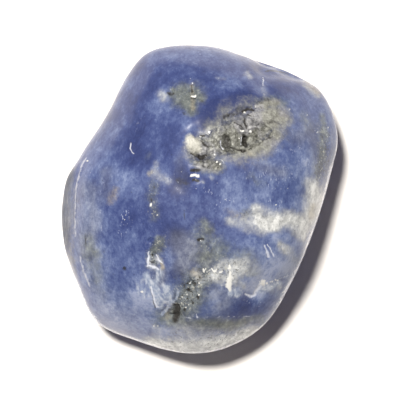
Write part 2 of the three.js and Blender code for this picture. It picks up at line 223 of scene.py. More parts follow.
# The fine worn line between the left flank and the top: raised a little, and painted pale as a painted glint
# along the edge.
RIDGE_LINES = (
    (
        (-109, 40, 0.7), (-112, 35, 1), (-114.5, 28, 1.1), (-116.5, 20, 1.2), (-118.5, 9, 0.9),
        (-119.3, -4, 0.6), (-119.5, -20, 0.8), (-119, -36, 0.6),
    ),
    ((-114.5, -55, 0.8), (-111.5, -68, 1.2), (-105, -83, 0.8)),
)
# Glassy, paler blades in the near left and glassy bruises in the near right.
GLASSY = (
    (1, (-43.5, -81, 3), (-41.5, -88, 4), (-39.5, -98, 3)),
    (0.9, (-32, -83, 2.5), (-30, -89, 3.5), (-31, -95, 3)),
    (0.9, (-36.5, -103, 1.2), (-34, -95, 1.2), (-29, -93.5, 1.3), (-27.5, -96, 1.2)),
    (0.9, (-27, -96, 1.2), (-30, -103, 1.2), (-36, -110, 1.4)),
    (0.7, (-20, -87, 1), (-22, -94, 1), (-27, -99, 1)),
    (0.8, (-51, -70, 1.4), (-49, -76, 1.4), (-47, -82, 1.4)), (0.5, (-52, -72, 4), (-49, -77, 3)),
    (0.6, (-38, -69, 3.5), (-39, -76, 3.5)), (0.8, (29, -88, 3), (36, -89, 3.5)),
    (0.45, (-56, -83, 4), (-53, -90, 5)), (0.8, (58, -87, 2.5), (66, -84, 3.5), (76, -80, 2)),
)
# Where the skin is bruised: swarms of tiny bright nicks.
BRUISED = (
    (0.8, (52, 24, 8), (70, 16, 8), (86, 24, 7)), (0.9, (-71, -15, 5), (-69, -22, 6), (-74, -30, 4)),
    (0.9, (24, 0, 3), (30, -1, 3)), (0.9, (69, -4, 4), (75, -6, 4)), (0.9, (74, -43, 4), (83, -49, 4)),
    (0.6, (6, 10, 5), (20, -12, 6)), (0.6, (86, 46, 6), (98, 36, 6), (104, 16, 6)),
    (0.5, (-52, 84, 5), (-60, 68, 4)), (0.5, (-28, 24, 5), (-16, 4, 6)), (0.6, (44, -98, 5), (60, -98, 5)),
    (0.6, (8, -86, 5), (-14, -92, 6)), (0.5, (14, -70, 7), (34, -66, 7)), (0.5, (-96, 16, 6), (-98, -12, 6)),
    (0.5, (-104, -92, 5), (-84, -116, 5)), (0.5, (-50, -120, 6), (-20, -130, 6)),
)
# Where the rock is peppered with dark and light grains.
SPECKLED = (
    (1, (4, -76, 5), (-8, -82, 9), (-13, -94, 9), (-20, -106, 7)),
    (0.7, (5, -69, 5), (20, -69, 9), (36, -66, 8)),
    (0.35, (40, -14, 5), (54, -12, 7), (64, -22, 6), (86, -18, 5)),
    (0.8, (120, 66, 5), (120, 42, 5), (116, 22, 5)), (0.45, (56, 80, 8), (72, 76, 7), (74, 60, 7)),
    (0.3, (-24, 102, 5), (-6, 96, 8)), (0.6, (-37, -40, 5), (-44, -60, 6)), (0.3, (6, -34, 8), (10, -52, 8)),
    (0.6, (-30, -136, 7), (10, -136, 8), (44, -128, 6)), (0.25, (104, 2, 5), (106, -20, 5)),
    (0.5, (-44, 12, 4), (-45, -10, 4)),
)
# Small bright crumbs: (x, y, radius).
CRUMBS = (
    (43.5, 83, 0.9), (48, 64, 1.1), (37.5, 58, 0.8), (14, 42.5, 0.9), (16, 35.5, 1), (19.5, 33.5, 1),
    (86, 86, 1.1), (103, 80, 1), (112.5, 65, 1), (-0.5, -79.5, 0.9), (-0.5, -90.5, 0.9), (-12, -90.5, 0.8),
    (-10.5, -100, 0.8), (-13, -103, 0.8), (-16.5, -93, 0.7), (-9, -79.5, 0.8), (-43.5, -121, 1.3),
    (-39.5, -121, 1), (-70, -14, 0.6), (-66, -18.5, 0.6), (-71, -19, 0.5), (-40, -14.5, 0.8),
    (-44.5, -55, 0.7), (18, 116, 0.6), (-102, -14, 0.5), (-94, -16, 0.5), (-107.5, 37, 0.9), (124, 69, 0.6),
    (80, 31, 0.6), (24, 0, 0.7), (29, -1, 0.6), (72, -5, 0.7), (83, 10, 0.6), (-17, 26, 0.6), (75, -43, 0.6),
    (79, -47, 0.8), (83, -45, 0.6), (64.5, -80, 1), (67, -78.5, 0.8), (69.5, -78, 1), (72.5, -76.5, 0.8),
    (74.5, -77, 1), (78, -75, 0.9), (81, -73.5, 0.8), (83.5, -72, 0.6), (65, -84.5, 0.8), (68.5, -83, 0.7),
    (71.5, -81.5, 0.8), (75, -80, 0.8), (62, -86, 0.7),
)
# Milky (+) and deep (-) clouds in the blue: (x, y, spread, strength). On the right and near right sides,
# which face away from the key light, part of the milk is painted light.
MILK_AND_SIDE_LIGHT = (
    (-62, 56, 8, -1.7), (-60, 76, 8, -1), (-53, 39, 9, -1.5), (-30, -28, 10, -1.1), (-18, -32, 8, -0.8),
    (-44, 68, 9, -0.8), (-27, 60, 9, -1.3), (-29, 46, 7, -0.7), (-17, 40, 6, -0.5), (-22, 26, 7, -1),
    (-52, 105, 9, -1), (-20, 121, 9, -1), (26, 126, 9, -1), (66, 120, 9, -0.2), (72, 110, 9, -0.6),
    (-60, 131, 6, -0.9), (89, 113, 9, -0.6), (-14, 22, 8, -1.1), (7, 11, 8, -1), (86, 4, 8, -0.3),
    (43, -101, 10, -0.7), (52, -109, 7, -0.3), (19, -93, 8, 0.6), (14, -104, 8, 0.6), (36, -114, 8, -0.5),
    (10, 89, 8, -1.3), (25, 90, 8, -1.3), (44, 96, 9, -1.7), (4, 112, 8, -0.9), (-40, 120, 8, -0.3),
    (-79, 97, 7, -0.9), (-76, -26, 9, -0.7), (-73, -49, 10, -0.2), (-64, -60, 8, 0.3), (78, 104, 7, -1),
    (83, 52, 8, -0.3), (-66, 32, 8, -0.3), (-68, 8, 9, -0.2), (-50, -3, 7, -0.5), (-60, 9, 6, 0.5),
    (-20, 8, 8, -0.9), (-20, -10, 8, -0.2), (-3, -16, 7, -0.7), (49, 30, 7, -0.6), (-73, -79, 8, 0.2),
    (-25, -72, 7, -0.8), (-63, 94, 7, -0.6), (110, 50, 6, -0.2), (56, -44, 7, 0.3), (37, -32, 8, -0.3),
    (94, 84, 7, 0.4), (16, -16, 8, -0.6), (14, -28, 8, -0.7), (49, 14, 7, -0.3), (-88, -4, 6, -0.6),
    (-91, -56, 6, -0.6), (62, 37, 6, 0.3), (36, 37, 6, -0.6), (29, 16, 10, 0.4), (-75, 24, 8, 0.5),
    (-39, 88, 8, 0.5), (-38, 99, 6, 0.3), (-23, 90, 5, -0.5), (2, 130, 8, -0.5), (49, 129, 8, -0.5),
    (-15, 72, 6, 0.6), (5, 74, 8, -1.7), (-78, 56, 7, 0.1), (-33, 19, 6, 0.6), (32, 112, 8, 0.6),
    (73, 118, 7, 0.2), (96, 38, 8, 0.6), (74, -39, 9, 0.9), (61, 6, 8, 0.5), (82, -46, 9, 0.4),
    (97, -37, 6, 0.9), (64, -68, 11, 1.6), (-57, -93, 9, 1.6), (-20, -86, 8, 0.5), (56, -89, 6, 1.5),
    (-34, -86, 8, 0.6), (-46, -109, 9, 0.7), (-100, 16, 11, 0.2), (-118, 24, 6, -0.5), (-101, -16, 12, 0.4),
    (-99, -64, 12, 0.8), (-90, -96, 13, 0.9), (-14, -49, 10, 0.6), (-30, 10, 6, -0.4), (-56, -24, 7, -0.4),
    (99, 62, 9, 0.4), (38, -83, 7, 0.7), (-58, -122, 10, 0.5), (-34, -122, 8, 1.1), (-82, -116, 10, 1),
    (-56, 124, 9, -0.6), (56, 130, 6, -0.8), (-62, -16, 9, -0.4), (-42, -12, 8, -0.9), (96, -56, 8, 0.5),
    (44, -46, 7, 0.4), (37, -61, 8, 0.6), (84, -66, 9, 1), (100, -6, 8, 1.3), (76, -6, 8, 0.9),
    (86, 17, 7, -0.1), (105, 26, 8, 0.8), (-10, 100, 8, 0.4), (38, -4, 7, 0.6), (72, 0, 7, -0.9),
    (68, -88, 7, 0.8), (29, -96, 7, 0.6), (90, -84, 6, 0.6), (-87, 82, 7, -1.2), (-96, 62, 7, -0.4),
    (-32, 30, 5, 0.5), (-16, -99, 8, 0.3), (-81, -90, 8, -0.5), (82, 94, 5, 1), (46, -79, 6, 0.2),
    (-96, -47, 5, 0.8), (36, 35, 5, -0.6), (34, 95, 5, -0.7), (29, -90, 5, -0.6),
)
# Milky haze along the stone's edges: partly tiny bruises, partly painted reflection of the bright paper.
BRUISE_AND_REFLECTION_HAZE = (
    (0.2, (-99, 66, 4), (-81, 100, 4), (-60, 134, 3)),
    (0.2, (-30, 144, 4), (5, 148, 4), (44, 134, 3.5), (74, 129, 3)),
    (0.45, (-130, 20, 5), (-132, -30, 6), (-122, -75, 10), (-108, -105, 11), (-85, -126, 10)),
    (0.4, (-80, -129, 5), (-40, -137, 6), (5, -139, 5), (40, -132, 4)), (0.6, (-92, -123, 6), (-78, -131, 6)),
    (0.25, (132, 80, 6), (133, 50, 9), (126, 20, 8)),
    (0.3, (109, -34, 3), (97, -65, 3), (80, -96, 3), (62, -120, 3)),
)
# Streaky grey rock on the left flank.
LEFT_FLANK = (
    (1, (-125, 30, 4), (-130, 14, 8), (-134, -12, 12), (-133, -42, 9)), (0.6, (-126, -56, 5), (-121, -76, 4)),
)
# Where the polish is gone: round the broken vein and in the far right hollow.
DULL = (
    (0.9, (-126, 24, 5), (-133, -12, 8), (-131, -50, 6)),
    (1, (-13, 46, 6), (-13, 32, 10), (-10, 17, 9), (0, 10, 8)), (1, (0, 26, 10), (24, 30, 7)),
    (0.45, (64, 124, 9), (86, 124, 9), (102, 116, 7)), (0.4, (123, 80, 7), (127, 55, 8), (123, 25, 7)),
    (0.9, (34, -104, 10), (54, -102, 11), (74, -80, 10), (90, -56, 9)),
)
# Crisp-edged pits: (x, y, radius, depth).
PITS = (
    (25, 58.5, 3.8, 2.2), (26, 53, 4.2, 2.2), (42.5, 58, 2.2, 2.8), (43, 53, 2.4, 2.8), (41, 46.5, 2.6, 2.8),
    (43.5, 73, 2.2, 2), (4.5, 53, 2.2, 1.6), (1, 40.5, 3, 2), (-3.5, 27.5, 2, 1), (-7, 105, 2, 1),
    (-14.5, 82, 2, 0.8), (-27, 101.5, 2.4, 1), (-10, -86, 2, 1.2), (-4, -80.5, 1.8, 1), (-2, -93, 1.8, 1),
    (-22, -103, 4.5, 1.4), (-22, -111, 4, 1.4), (-109, -38, 1.6, 0.8), (-92, -50, 1.6, 0.6),
    (-71, -65, 1.4, 0.6), (1, -37.5, 2.4, 1), (-45, -53, 1.8, 1), (-14.2, -105, 1.6, 1),
)
# Clouds of the underside, in plan as the others.
UNDER_CREAM = (
    (0.8, (-90, -40, 6), (-60, -26, 9), (-25, -32, 7)), (0.7, (40, 75, 7), (65, 56, 9), (86, 52, 5)),
    (0.6, (25, -95, 5), (42, -76, 8)),
)
UNDER_OLIVE = (
    (0.8, (-45, 75, 8), (-20, 58, 11), (5, 52, 7)), (0.7, (70, -10, 8), (85, 5, 6)),
    (0.6, (-50, -90, 8), (-30, -80, 6)),
)

# ---- How the lists turn into relief and covers: sizes are in mm from here on ----

# Heights between which the upper side's lists take over from the underside's.
DRESSED_FROM = 2.0
DRESSED_FULL = 3.8
# How fast a soft cloud fades from its line outward.
CLOUD_FADE = 0.55
# How borders drift, each swing as (size, reach): crisp lists keep close to their places, loose ones wander.
CRISP_DRIFT = ((0.5, 0.07),)
LOOSE_DRIFT = ((1.8, 0.3), (0.6, 0.12))
# Makes every drift come out the same each time.
DRIFT_SEED = 6
# The swells that tumbling leaves: (size, share of the unevenness).
SWELLS = ((1.3, 1.0), (0.5, 0.3))
# Heights of the bright crumbs and of the white rock above the skin.
CRUMB_HEIGHT = 0.05
WHITE_ROCK_HEIGHT = 0.03
# Broken rock, in crumb depths: how steeply crumbs rise from their gaps, how deep gaps go, and how far crumbs
# tilt and step; then the share of the finer crumbs, and how far off those are drawn.
GAP_RISE = 2.2
GAP_DEPTH = 0.8
CRUMB_TILT = 1.6
CRUMB_STEP = 1.2
FINE_CRUMBS = 0.45
FINE_SHIFT = 3.7
# Tones of broken rock: where there are no crumbs, the darkest crumb, how much lighter others are, how much
# darker the gaps are painted as painted shade, and the coarse crumbs' share.
PLAIN_TONE = 0.55
DARKEST_CRUMB = 0.46
CRUMB_TONES = 0.3
GAP_PAINTED_SHADE = 0.3
COARSE_TONE = 0.6
# Stretches that give each crumb separate random draws for its tilt, step and tone.
TILT_DRAW = 7.3
STEP_DRAW = 5.1
TONE_DRAW = 3.7
# Depth inside the crumbled list from which the rock is finer and has lost its polish, and how much of the
# rough relief the smooth knob takes away.
CRUMBLES_FROM = 0.42
KNOB_SMOOTHS = 0.8
# A slow wander of the borders on the flanks: (size, reach as a tilt).
WANDER = (2.2, 0.12)
# The way towards the stone's near side in plan, which faces away from the key light, and how wide the
# girdle's painted reflection of the bright paper blends in from it.
NEAR_SIDE = (0.5, -0.87)
NEAR_SIDE_BLEND = 4
# Tilts (0 facing up, 1 upright) where the girdle's painted reflection starts, is full, fades and ends, and
# how much sooner it starts and is full in the middle of the near side.
GIRDLE_LINE_STARTS = 0.56
GIRDLE_LINE_FULL = 0.86
GIRDLE_LINE_FADES = 0.9
GIRDLE_LINE_ENDS = 1.08
MIDDLE_STARTS_SOONER = 0.14
MIDDLE_FULL_SOONER = 0.08
# Patches in the girdle's painted reflection: (size, share), and how far off they are drawn.
GIRDLE_LINE_PATCHES = (3.0, 0.6)
GIRDLE_LINE_SHIFT = 9.1
# Tilts where the painted reflection on the lower edge begins, is full and ends, and where the flank's grey
# rock fades.
LOWER_EDGE = (0.5, 1.0, 1.3)
FLANK_FADES = (0.8, 1.5)
# Shares: faint scratches, polish lost on crumbled rock, lighter tone of pale rock, painted reflection along
# the lower edge.
FAINTNESS = 0.6
POLISH_LOST = 0.95
PALE_TONE = 0.35
LOWER_HAZE = 0.3

# ---- Tones of each finish, from dark to light: (place on its pattern, colour) ----
GREY_VEIL = ((0.1, "#33384c"), (0.5, "#575c6f"), (1.0, "#8f949f"))
GREY_CLOUD = ((0.35, "#3c413c"), (0.47, "#525850"), (0.57, "#696f67"), (0.68, "#8a9088"))
WARM_VEIN = (
    (0.1, "#2f302c"), (0.3, "#54554f"), (0.5, "#6d6e69"),
    (0.7, "#8b8d87"), (0.85, "#aaaca7"), (1.0, "#c9cac6"),
)
COOL_VEIN = ((0.1, "#333437"), (0.4, "#646568"), (0.6, "#7e7f82"), (0.8, "#9c9d9f"), (1.0, "#c3c4c5"))
CREAM_ROCK = ((0.34, "#828589"), (0.5, "#abaeaf"), (0.62, "#d3d6d6"))
GLASSY_BLADE = ((0.35, "#7d89a3"), (0.5, "#98a3b6"), (0.65, "#b8bfcb"))
RUSTY_ROCK = ((0.36, "#67604f"), (0.5, "#8a8271"), (0.64, "#a8a08f"))
FLANK_ROCK = ((0.38, "#3d4143"), (0.5, "#585b61"), (0.62, "#7f8085"))
# painted reflection along the near side's girdle
GIRDLE_REFLECTION_TONES = ((0.38, "#a4abc2"), (0.48, "#d8ddec"), (0.58, "#fafcff"))
KNOB_ROCK = ((0.38, "#8f8f87"), (0.5, "#aeaea6"), (0.62, "#c9c9c3"))
DARK_GRAINS = "#36352f"
PALE_GRAINS = "#a6a79f"
DARK_DOTS = "#20222f"
PALE_DOTS = "#c0c4d0"
NICKS = "#a4adc6"
# the painted glint along the left ridge
RIDGE_GLINT_PAINT = "#aeb1bd"
SKIN_SHEEN = "#e6ecff"


def deselect_all():
    """Leaves nothing selected and nothing active."""
    for thing in bpy.context.view_layer.objects:
        thing.select_set(False)
    bpy.context.view_layer.objects.active = None


def make_active(thing):
    """Selects one object alone."""
    deselect_all()
    thing.select_set(True)
    bpy.context.view_layer.objects.active = thing


def linear(hex_colour):
    """An sRGB hex colour as linear red, green, blue and alpha."""
    parts = [int(hex_colour[i : i + 2], 16) / 255 for i in (1, 3, 5)]
    return [p / 12.92 if p <= 0.04045 else ((p + 0.055) / 1.055) ** 2.4 for p in parts] + [1.0]


def add_node(tree, kind, settings=None, stops=(), **inputs):
    """Adds a node with its settings and colour stops; its inputs go by name, or as i0, i1 and so on."""
    node = tree.nodes.new(kind)
    for name, value in (settings or {}).items():
        setattr(node, name, value)
    for _ in stops[2:]:
        node.color_ramp.elements.new(1.0)
    for stop, (position, colour) in zip(node.color_ramp.elements if stops else (), stops):
        stop.position = position
        stop.color = linear(colour) if isinstance(colour, str) else colour
    for name, value in inputs.items():
        socket = node.inputs[int(name[1:]) if name[1:].isdigit() else name.replace("_", " ")]
        if isinstance(value, bpy.types.NodeSocket):
            tree.links.new(value, socket)
        else:
            socket.default_value = value
    return node


# ---- Sizes and colours a user would change ----


def length(name, description, size):
    """A size property; its default is given in millimetres."""
    return FloatProperty(name=name, description=description, default=size * MM, unit="LENGTH")


def angle(name, description, degrees):
    """An angle property; its default is given in degrees."""
    return FloatProperty(name=name, description=description, default=math.radians(degrees), subtype="ANGLE")


def colour(name, description, hex_colour):
    """A colour property; its default is given as sRGB hex."""
    default = linear(hex_colour)
    return FloatVectorProperty(name=name, description=description, default=default, size=4, subtype="COLOR")


class StoneSettings(bpy.types.PropertyGroup):
    """Sizes of the stone's fine relief and its leading colours."""

    crumb_size: length("Crumb size", "Size of the crumbs of the broken rock", 0.42)
    crumb_depth: length("Crumb depth", "Depth of the gaps between the crumbs", 0.05)
    unevenness: length("Unevenness", "Height of the slow swells that tumbling leaves", 0.02)
    scratch_depth: length("Scratch depth", "Depth of the bruised lines", 0.04)
    ridge_height: length("Ridge height", "Height of the worn line along the left flank", 0.05)
    knob_height: length("Knob height", "How far the pale knob stands proud", 0.08)
    bump_height: length("Bump height", "Height of the satin polish's fine unevenness", 0.08)
    deepest_blue: colour("Deepest blue", "Clear blue seen far into the stone", "#17275a")
    deep_blue: colour("Deep blue", "Clear blue", "#2a396c")
    middle_blue: colour("Middle blue", "The stone's main blue", "#465581")
    pale_blue: colour("Pale blue", "Blue with some milk", "#69779b")
    milky_blue: colour("Milky blue", "Blue with much milk", "#8a94b0")
    # also the colour of the painted reflection along the edges
    bruise_and_reflection_haze: colour("Bruise haze", "Haze of tiny bruises along the edges", "#858aa4")
    milk_glaze: colour("Milk glaze", "Milky blue round the cream clouds", "#7c8496")
    # also the colour of the painted shade in pits and crevices
    dark_mineral_and_pit_shade: colour("Dark mineral", "Pits, crevices and dirt", "#1f1d1a")
    # also the colour of the painted glints and the painted highlight drop
    crushed_white_and_glints: colour("Crushed white", "White rock and crumbs", "#d4d5d2")
    scratch_white: colour("Scratch white", "Crushed stone in the scratches", "#cdd2de")


class StudioSettings(bpy.types.PropertyGroup):
    """Sizes, light and colours of the plain studio."""

    lens: FloatProperty(name="Lens", description="Focal length in millimetres", default=250.0)
    frame_width: length("Frame width", "Width of the view at the stone's girdle", 38.72)
    girdle: length("Girdle", "Height of the stone's widest outline above the floor", 5.9)
    floor_size: length("Floor size", "Side of the square floor", 3000)
    key_power: FloatProperty(name="Key power", description="Power of the key light in watts", default=6.6)
    key_size: length("Key size", "Width of the round key light", 105)
    key_distance: length("Key distance", "From the stone to the key light", 600)
    key_tilt: angle("Key tilt", "Angle of the key light from straight above", 19.5)
    key_turn: angle("Key turn", "Direction of the key light in plan, from +X towards +Y", 122)
    key_colour: colour("Key colour", "Light of the key light", "#fffaf2")
    air_strength: FloatProperty(name="Air strength", description="Light from all round", default=0.12)
    air_colour: colour("Air colour", "Colour of the light all round", "#e4d4de")
    backdrop: colour("Backdrop", "Colour seen past the floor", "#f4f5f7")
    paper: colour("Paper", "Colour of the floor", "#f6f4f2")


# ---- The stone's shape ----


def spots_gap(plan, chain):
    """Distance from each point to a chain's line, as a share of the chain's half width there."""
    # a single spot is a line of no length
    shortest = 1e-9
    nearest = np.full(len(plan), np.inf)
    spots = np.array(chain) / TENTHS
    for start, end in zip(spots, spots[1:] if len(spots) > 1 else spots):
        first = start[:2]
        along = end[:2] - first
        share = np.clip((plan - first) @ along / max(along @ along, shortest), 0, 1)
        gap = np.linalg.norm(plan - first - share[:, None] * along, axis=1)
        nearest = np.minimum(nearest, gap / (start[2] + share * (end[2] - start[2])))
    return nearest


def depth_inside(plan, chains):
    """How deep each point lies in the nearest chain: 1 on its line, 0.5 on its border, 0 well outside."""
    deepest = np.zeros(len(plan))
    for chain in chains:
        deepest = np.maximum(deepest, 1 - 0.5 * spots_gap(plan, chain))
    return deepest


def soft_cover(plan, clouds):
    """How much of each point soft clouds cover, 0 to 1."""
    clear = np.ones(len(plan))
    for strength, *chain in clouds:
        clear *= 1 - strength * np.exp(-CLOUD_FADE * spots_gap(plan, chain) ** 2)
    return 1 - clear


def smooth_step(value, low, high):
    """0 below low, 1 above high, and smooth between."""
    share = np.clip((value - low) / (high - low), 0, 1)
    return share * share * (3 - 2 * share)


def drift(places, size, reach):
    """A smooth random shift for every place."""
    return reach * np.array([noise.noise_vector(Vector(place) / size)[:] for place in places])


def swell(places, size, reach):
    """Smooth random heights."""
    return reach * np.array([noise.noise(Vector(place) / size) for place in places])


def vectors(items, name):
    """One vector of each item, as rows."""
    values = np.empty(len(items) * 3)
    items.foreach_get(name, values)
    return values.reshape(-1, 3)


class Skin:
    """Every vertex of the stone in millimetres, and where the lists above lie on it."""

    def __init__(self, mesh):
        self.mesh = mesh
        self.places = vectors(mesh.vertices, "co") / MM
        self.outward = vectors(mesh.vertex_normals, "vector")
        # 0 facing straight up, 1 upright, 2 facing straight down
        self.tilt = 1 - self.outward[:, 2]
        self.upper = smooth_step(self.places[:, 2], DRESSED_FROM, DRESSED_FULL)
        self.crisp = self.drifted(CRISP_DRIFT)
        self.loose = self.drifted(LOOSE_DRIFT)
        self.crumbled = self.depth(self.loose, CRUMBLED)
        self.crumbs = self.depth(self.crisp, [(crumb,) for crumb in CRUMBS])
        self.knob = self.depth(self.crisp, KNOB)
        self.ridge = self.depth(self.crisp, RIDGE_LINES)
        self.scratches = self.depth(self.crisp, SCRATCHES)
        # white rock, with the painted glints and highlight drop among it
        self.white_rock_and_glints = self.depth(self.crisp, WHITE_ROCK_AND_GLINTS)

    def drifted(self, swings):
        """Every vertex in plan, nudged so that nothing on the stone has a ruled outline."""
        places = self.places
        for size, reach in swings:
            places = places + drift(self.places, size, reach)
        return places[:, :2]

    def depth(self, plan, chains):
        """Depth inside chains, on the upper side."""
        return depth_inside(plan, chains) * self.upper

    def cover(self, plan, clouds):
        """Cover of soft clouds, on the upper side."""
        return soft_cover(plan, clouds) * self.upper

    def store(self, name, values):
        """Keeps one number for each vertex, for the material to read."""
        layer = self.mesh.attributes.new(name, "FLOAT", "POINT")
        layer.data.foreach_set("value", values.astype(np.float32))


def copy_of_solid():
    """A finer piece of its own, made from the measured solid."""
    solid = frame["nodes"][SOLID]
    piece = solid.copy()
    piece.data = solid.data.copy()
    piece.name = STONE
    bpy.context.scene.collection.objects.link(piece)
    make_active(piece)
    bpy.ops.object.mode_set(mode="EDIT")
    bpy.ops.mesh.select_all(action="SELECT")
    bpy.ops.mesh.remove_doubles(threshold=0.001 * MM)
    # every pair of triangles that makes a quad, however bent
    bpy.ops.mesh.tris_convert_to_quads(face_threshold=math.pi, shape_threshold=math.pi)
    bpy.ops.object.mode_set(mode="OBJECT")
    skin = piece.modifiers.new("Fine skin", "SUBSURF")
    skin.levels = skin.render_levels = 2
    bpy.ops.object.modifier_apply(modifier=skin.name)
    return piece


def refine(piece):
    """Splits the faces once more where the stone is crumbled, scratched or ridged."""
    mesh = piece.data
    centres = vectors(mesh.polygons, "center") / MM
    near = depth_inside(centres[:, :2], CRUMBLED) > CRUMBLES_FROM
    near |= depth_inside(centres[:, :2], SCRATCHES + RIDGE_LINES) > 0
    near &= centres[:, 2] > DRESSED_FULL
    make_active(piece)
    bpy.ops.object.mode_set(mode="EDIT")
    bpy.ops.mesh.select_mode(type="FACE")
    bpy.ops.mesh.select_all(action="DESELECT")
    bpy.ops.object.mode_set(mode="OBJECT")
    mesh.polygons.foreach_set("select", near)
    bpy.ops.object.mode_set(mode="EDIT")
    bpy.ops.mesh.subdivide(number_cuts=1, smoothness=0)
    bpy.ops.object.mode_set(mode="OBJECT")


def broken_rock(places, rough, size):
    """Relief and tone of broken rock: crumbs, each with its own tilt, height and tone, and painted shade in
    the gaps.
    """
    heights = np.zeros(len(places))
    tones = np.full(len(places), PLAIN_TONE)
    for i in np.flatnonzero(rough > 0):
        place = Vector(places[i] / size)
        far, middles = noise.voronoi(place)
        middle = middles[0]
        gap = min((far[1] - far[0]) * GAP_RISE, 1.0)
        tilt = noise.cell_vector(middle * TILT_DRAW) - Vector((0.5, 0.5, 0.5))
        step = noise.cell(middle * STEP_DRAW) - 0.5
        heights[i] = (gap - 1) * GAP_DEPTH + (place - middle).dot(tilt) * CRUMB_TILT + step * CRUMB_STEP
        # the gaps between crumbs are painted darker: painted shade
        tones[i] = DARKEST_CRUMB + CRUMB_TONES * noise.cell(middle * TONE_DRAW) - GAP_PAINTED_SHADE * (1 - gap) ** 3
    return heights, tones


def carve(skin, settings):
    """Moves the vertices outward and inward along their normals, and gives the tone of the broken rock."""
    places = skin.places
    # depths are 0.5 on a list's border and 1 on its lines
    rough = smooth_step(skin.crumbled, 0.46, 0.7) * (1 - KNOB_SMOOTHS * smooth_step(skin.knob, 0.4, 0.7))
    size = settings.crumb_size / MM
    coarse, coarse_tone = broken_rock(places, rough, size)
    fine, fine_tone = broken_rock(places + FINE_SHIFT, rough, size / 2)
    relief = rough * (coarse + FINE_CRUMBS * fine) * settings.crumb_depth
    relief += sum(swell(places, swing, share * settings.unevenness) for swing, share in SWELLS)
    for x, y, radius, depth in np.array(PITS) / TENTHS:
        share = np.hypot(skin.crisp[:, 0] - x, skin.crisp[:, 1] - y) / radius
        relief -= depth * MM * (1 - smooth_step(share, 0.5, 1.0)) * skin.upper
    # a list, its height, and the depths between which that rises
    for depth, height, low, high in (
        (skin.ridge, settings.ridge_height, 0.3, 0.9),
        (skin.scratches, -settings.scratch_depth, 0.3, 0.9),
        (skin.crumbs, CRUMB_HEIGHT * MM, 0.3, 0.9),
        (skin.white_rock_and_glints, WHITE_ROCK_HEIGHT * MM, 0.4, 0.9),
        (skin.knob, settings.knob_height, 0.3, 0.8),
    ):
        relief += height * smooth_step(depth, low, high)
    carved = places * MM + skin.outward * relief[:, None]
    # nothing goes below the surface that the stone rests on
    carved[:, 2] = np.maximum(carved[:, 2], 0)
    skin.mesh.vertices.foreach_set("co", carved.ravel())
    skin.mesh.update()
    return COARSE_TONE * coarse_tone + (1 - COARSE_TONE) * fine_tone


def milk_and_side_light_of(skin):
    """How milky (+) or deep (-) the blue is; on the right and near right part of it is painted light."""
    milk = np.zeros(len(skin.loose))
    for x, y, spread, strength in np.array(MILK_AND_SIDE_LIGHT) / (TENTHS, TENTHS, TENTHS, 1):
        away = (skin.loose[:, 0] - x) ** 2 + (skin.loose[:, 1] - y) ** 2
        milk += strength * np.exp(-0.5 * away / spread**2)
    return milk * skin.upper


def girdle_painted_reflection(skin, wander):
    """Painted reflection of the bright paper: a pale line along the near side's girdle, away from the key
    light.
    """
    near_side = smooth_step(skin.places[:, :2] @ np.array(NEAR_SIDE), -NEAR_SIDE_BLEND, NEAR_SIDE_BLEND)
    middle = smooth_step(-skin.outward[:, 1], 0.35, 0.8)
    starts = GIRDLE_LINE_STARTS - MIDDLE_STARTS_SOONER * middle
    full = GIRDLE_LINE_FULL - MIDDLE_FULL_SOONER * middle
    wear = smooth_step(skin.tilt + wander, starts, full)
    wear *= 1 - smooth_step(skin.tilt - wander, GIRDLE_LINE_FADES, GIRDLE_LINE_ENDS)
    return wear * (1 + swell(skin.places + GIRDLE_LINE_SHIFT, *GIRDLE_LINE_PATCHES)) * near_side


def covers_of(skin, tone):
    """Where each finish lies, by the name that the material reads."""
    crisp, loose, tilt = skin.crisp, skin.loose, skin.tilt
    under = 1 - skin.upper
    wander = swell(skin.places, *WANDER)
    begins, full, ends = LOWER_EDGE
    lower_edge = smooth_step(tilt, begins, full) * (1 - smooth_step(tilt, full, ends)) * under
    flank = 1 - smooth_step(tilt + 3 * wander, *FLANK_FADES)
    worn_off = POLISH_LOST * smooth_step(skin.crumbled, CRUMBLES_FROM, 0.6)
    return {
        # milk, partly painted light on the sides away from the key light
        "milk": milk_and_side_light_of(skin),
        "veils": skin.cover(loose, VEILS),
        # bruise haze, and painted reflection along the edges and the lower edge
        "haze": skin.cover(skin.places[:, :2], BRUISE_AND_REFLECTION_HAZE) + LOWER_HAZE * lower_edge,
        "olive": skin.cover(loose, OLIVE) + soft_cover(loose, UNDER_OLIVE) * under,
        "cream": skin.cover(loose, CREAM) + soft_cover(loose, UNDER_CREAM) * under,
        "vein": skin.depth(loose, VEIN),
        "vein_tone": tone + PALE_TONE * soft_cover(loose, PALE_ROCK),
        "knob": skin.knob,
        "glassy": skin.cover(crisp, GLASSY),
        "rust": skin.cover(crisp, RUST),
        # dark mineral, and painted shade in pits and crevices
        "dark": skin.cover(crisp, DARK_SPOTS_AND_PIT_SHADE),
        "speckled": skin.cover(loose, SPECKLED),
        "bruised": skin.cover(loose, BRUISED),
        # white rock and crumbs, with the painted glints and the painted highlight drop
        "white_rock_and_glints": np.maximum(skin.white_rock_and_glints, skin.crumbs),
        "scratches": np.maximum(skin.scratches, FAINTNESS * skin.depth(crisp, FAINT_SCRATCHES)),
        "ridge": skin.ridge,
        # painted reflection along the near side's girdle
        "girdle": girdle_painted_reflection(skin, wander),
        "left_flank": soft_cover(loose, LEFT_FLANK) * flank,
        "polish": (1 - soft_cover(loose, DULL)) * (1 - worn_off),
    }


